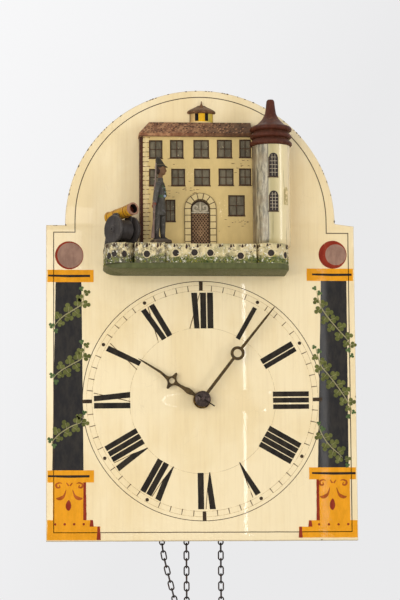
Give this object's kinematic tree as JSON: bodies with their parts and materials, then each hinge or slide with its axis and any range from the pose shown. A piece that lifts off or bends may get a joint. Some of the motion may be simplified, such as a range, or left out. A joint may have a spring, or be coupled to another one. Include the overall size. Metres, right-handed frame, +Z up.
{
  "type": "shield clock",
  "caption": "Painted wooden shield clock with a fortress, cannon and sentry on a ledge, dial hands, wooden-plate striking movement, pendulum, chains and hung weights.",
  "frame": {"origin": "centre of the hole in the hanging strap, in the plane of the wall", "axes": "+X to the right seen from the front, +Y back into the wall, +Z up"},
  "size_m": [0.26, 0.1672, 0.5928],
  "materials": {
    "painted_board": "aged cream oil paint with worn edges",
    "dark_board": "plain oiled pine",
    "green_paint": "olive green paint",
    "stone_paint": "cream paint dabbed as stone",
    "wall_paint": "cream and ochre paint",
    "tile_paint": "painted roof tiles",
    "tower_roof_paint": "dark red paint",
    "yellow_paint": "yellow paint",
    "brown_paint": "brown paint",
    "gun_paint": "yellow paint with red bands",
    "wheel_paint": "dark grey paint",
    "uniform_paint": "blue-grey paint",
    "musket_paint": "brown paint",
    "hand_steel": "browned steel",
    "steel": "bright steel",
    "iron": "dark iron",
    "brass": "turned brass"
  },
  "bodies": {
    "case": {"shield_board": "painted_board", "shield_blocks": "dark_board", "ledge_board": "green_paint", "rampart": "stone_paint", "castle_front": "wall_paint", "castle_roof": "tile_paint", "roof_lantern": "yellow_paint", "lantern_cap": "brown_paint", "tower_column": "wall_paint", "tower_roof": "tower_roof_paint", "cannon_carriage": "brown_paint", "cannon_barrel": "gun_paint", "suspension_post": "steel", "gong_coil": "steel", "gong_post": "iron", "top_board": "dark_board", "bottom_board": "dark_board", "back_board": "dark_board", "front_plate": "dark_board", "rear_plate": "dark_board", "front_studs": "steel", "brass_bushes": "brass", "door_pins": "steel", "hanging_strap": "iron", "going_chain": "iron", "strike_chain": "iron"},
    "sentry": {"sentry_figure": "uniform_paint", "sentry_musket": "musket_paint", "sentry_plinth": "green_paint", "sentry_crank": "steel"},
    "sentry_lever": {"sentry_lever": "steel"},
    "minute": {"minute_arbor": "steel", "minute_hand": "hand_steel", "hand_washer": "hand_steel", "hand_pin": "steel"},
    "hour": {"hour_wheel": "brass", "hour_hand": "hand_steel"},
    "intermediate": {"intermediate_wheel": "brass"},
    "going_great": {"going_great_wheel": "brass", "driving_wheel": "brass", "friction_spring": "brass"},
    "going_sprocket": {"going_sprocket": "dark_board"},
    "second": {"second_wheel": "brass"},
    "escape": {"escape_wheel": "brass"},
    "anchor": {"anchor": "steel"},
    "pendulum": {"pendulum_rod": "steel", "pendulum_bob": "brass"},
    "strike_great": {"strike_great_wheel": "brass"},
    "strike_sprocket": {"strike_sprocket": "dark_board"},
    "locking": {"locking_wheel": "brass"},
    "fly": {"fly": "steel"},
    "count": {"count_wheel": "brass"},
    "strike_lever": {"strike_lever": "steel"},
    "hammer": {"hammer": "steel"},
    "left_door": {"left_door": "dark_board"},
    "right_door": {"right_door": "dark_board"},
    "cannon_near_wheel": {"cannon_near_wheel": "wheel_paint"},
    "cannon_far_wheel": {"cannon_far_wheel": "wheel_paint"},
    "going_weight": {"going_weight": "iron"},
    "strike_weight": {"strike_weight": "iron"}
  },
  "joints": [
    {"name": "great_wheel_turn", "type": "hinge", "parent": "case", "child": "going_great", "pos_m": [0.0296, -0.06, -0.11], "axis": [0, -1, 0], "continuous": true},
    {"name": "second_wheel_turn", "type": "hinge", "parent": "case", "child": "second", "pos_m": [0.03398, -0.048, -0.08235], "axis": [0, -1, 0], "continuous": true},
    {"name": "escape_wheel_turn", "type": "hinge", "parent": "case", "child": "escape", "pos_m": [0.02599, -0.04, -0.0594], "axis": [0, -1, 0], "continuous": true},
    {"name": "minute_turn", "type": "hinge", "parent": "case", "child": "minute", "pos_m": [0, -0.1, -0.096], "axis": [0, -1, 0], "continuous": true},
    {"name": "intermediate_turn", "type": "hinge", "parent": "case", "child": "intermediate", "pos_m": [-0.01414, -0.102, -0.08186], "axis": [0, -1, 0], "continuous": true},
    {"name": "hour_turn", "type": "hinge", "parent": "case", "child": "hour", "pos_m": [0, -0.106, -0.096], "axis": [0, -1, 0], "continuous": true},
    {"name": "going_winding", "type": "hinge", "parent": "going_great", "child": "going_sprocket", "pos_m": [0.0296, -0.07, -0.11], "axis": [0, 1, 0], "continuous": true},
    {"name": "pendulum_swing", "type": "hinge", "parent": "case", "child": "pendulum", "pos_m": [0.02599, -0.018, -0.039], "axis": [0, -1, 0], "range_deg": [-4, 4]},
    {"name": "anchor_rock", "type": "hinge", "parent": "case", "child": "anchor", "pos_m": [0.02599, -0.04, -0.039], "axis": [0, -1, 0], "range_deg": [-4, 4]},
    {"name": "strike_wheel_turn", "type": "hinge", "parent": "case", "child": "strike_great", "pos_m": [-0.0207, -0.06, -0.11], "axis": [0, 1, 0], "continuous": true},
    {"name": "locking_wheel_turn", "type": "hinge", "parent": "case", "child": "locking", "pos_m": [-0.02648, -0.048, -0.08764], "axis": [0, 1, 0], "continuous": true},
    {"name": "fly_turn", "type": "hinge", "parent": "case", "child": "fly", "pos_m": [-0.03303, -0.06, -0.06895], "axis": [0, 1, 0], "continuous": true},
    {"name": "count_wheel_turn", "type": "hinge", "parent": "case", "child": "count", "pos_m": [-0.033, -0.098, -0.11927], "axis": [0, 1, 0], "continuous": true},
    {"name": "strike_winding", "type": "hinge", "parent": "strike_great", "child": "strike_sprocket", "pos_m": [-0.0207, -0.07, -0.11], "axis": [0, -1, 0], "continuous": true},
    {"name": "strike_lever_lift", "type": "hinge", "parent": "case", "child": "strike_lever", "pos_m": [-0.052, -0.1, -0.082], "axis": [0, -1, 0], "range_deg": [0, 6]},
    {"name": "hammer_lift", "type": "hinge", "parent": "case", "child": "hammer", "pos_m": [-0.047, -0.017, -0.084], "axis": [0, -1, 0], "range_deg": [0, 12]},
    {"name": "left_door_open", "type": "hinge", "parent": "case", "child": "left_door", "pos_m": [-0.073, -0.013, -0.166], "axis": [0, 0, -1], "range_deg": [0, 90]},
    {"name": "right_door_open", "type": "hinge", "parent": "case", "child": "right_door", "pos_m": [0.073, -0.013, -0.166], "axis": [0, 0, 1], "range_deg": [0, 90]},
    {"name": "sentry_turn", "type": "hinge", "parent": "case", "child": "sentry", "pos_m": [-0.0356, -0.155, 0.0303], "axis": [0, 0, 1], "range_deg": [-15, 15]},
    {"name": "sentry_lever_rock", "type": "hinge", "parent": "case", "child": "sentry_lever", "pos_m": [-0.0356, -0.102, -0.033], "axis": [0, -1, 0], "range_deg": [-15, 15]},
    {"name": "near_wheel_roll", "type": "hinge", "parent": "case", "child": "cannon_near_wheel", "pos_m": [-0.07514, -0.15609, 0.0425], "axis": [0.829, 0.5592, 0], "continuous": true},
    {"name": "far_wheel_roll", "type": "hinge", "parent": "case", "child": "cannon_far_wheel", "pos_m": [-0.06006, -0.14591, 0.0425], "axis": [0.829, 0.5592, 0], "continuous": true},
    {"name": "going_weight_swing", "type": "hinge", "parent": "case", "child": "going_weight", "pos_m": [0.01908, -0.07, -0.2943], "axis": [1, 0, 0], "range_deg": [-10, 10]},
    {"name": "strike_weight_swing", "type": "hinge", "parent": "case", "child": "strike_weight", "pos_m": [-0.01018, -0.07, -0.2813], "axis": [1, 0, 0], "range_deg": [-10, 10]}
  ],
  "couplings": [
    {"joint": "second_wheel_turn", "follows": "great_wheel_turn", "ratio": -12.333},
    {"joint": "escape_wheel_turn", "follows": "great_wheel_turn", "ratio": 154.17},
    {"joint": "minute_turn", "follows": "great_wheel_turn", "ratio": -1},
    {"joint": "intermediate_turn", "follows": "great_wheel_turn", "ratio": 0.33333},
    {"joint": "hour_turn", "follows": "great_wheel_turn", "ratio": -0.083333},
    {"joint": "anchor_rock", "follows": "pendulum_swing", "ratio": 1},
    {"joint": "locking_wheel_turn", "follows": "strike_wheel_turn", "ratio": -13},
    {"joint": "fly_turn", "follows": "strike_wheel_turn", "ratio": 143},
    {"joint": "count_wheel_turn", "follows": "strike_wheel_turn", "ratio": -0.16667},
    {"joint": "sentry_lever_rock", "follows": "sentry_turn", "ratio": 1}
  ]
}
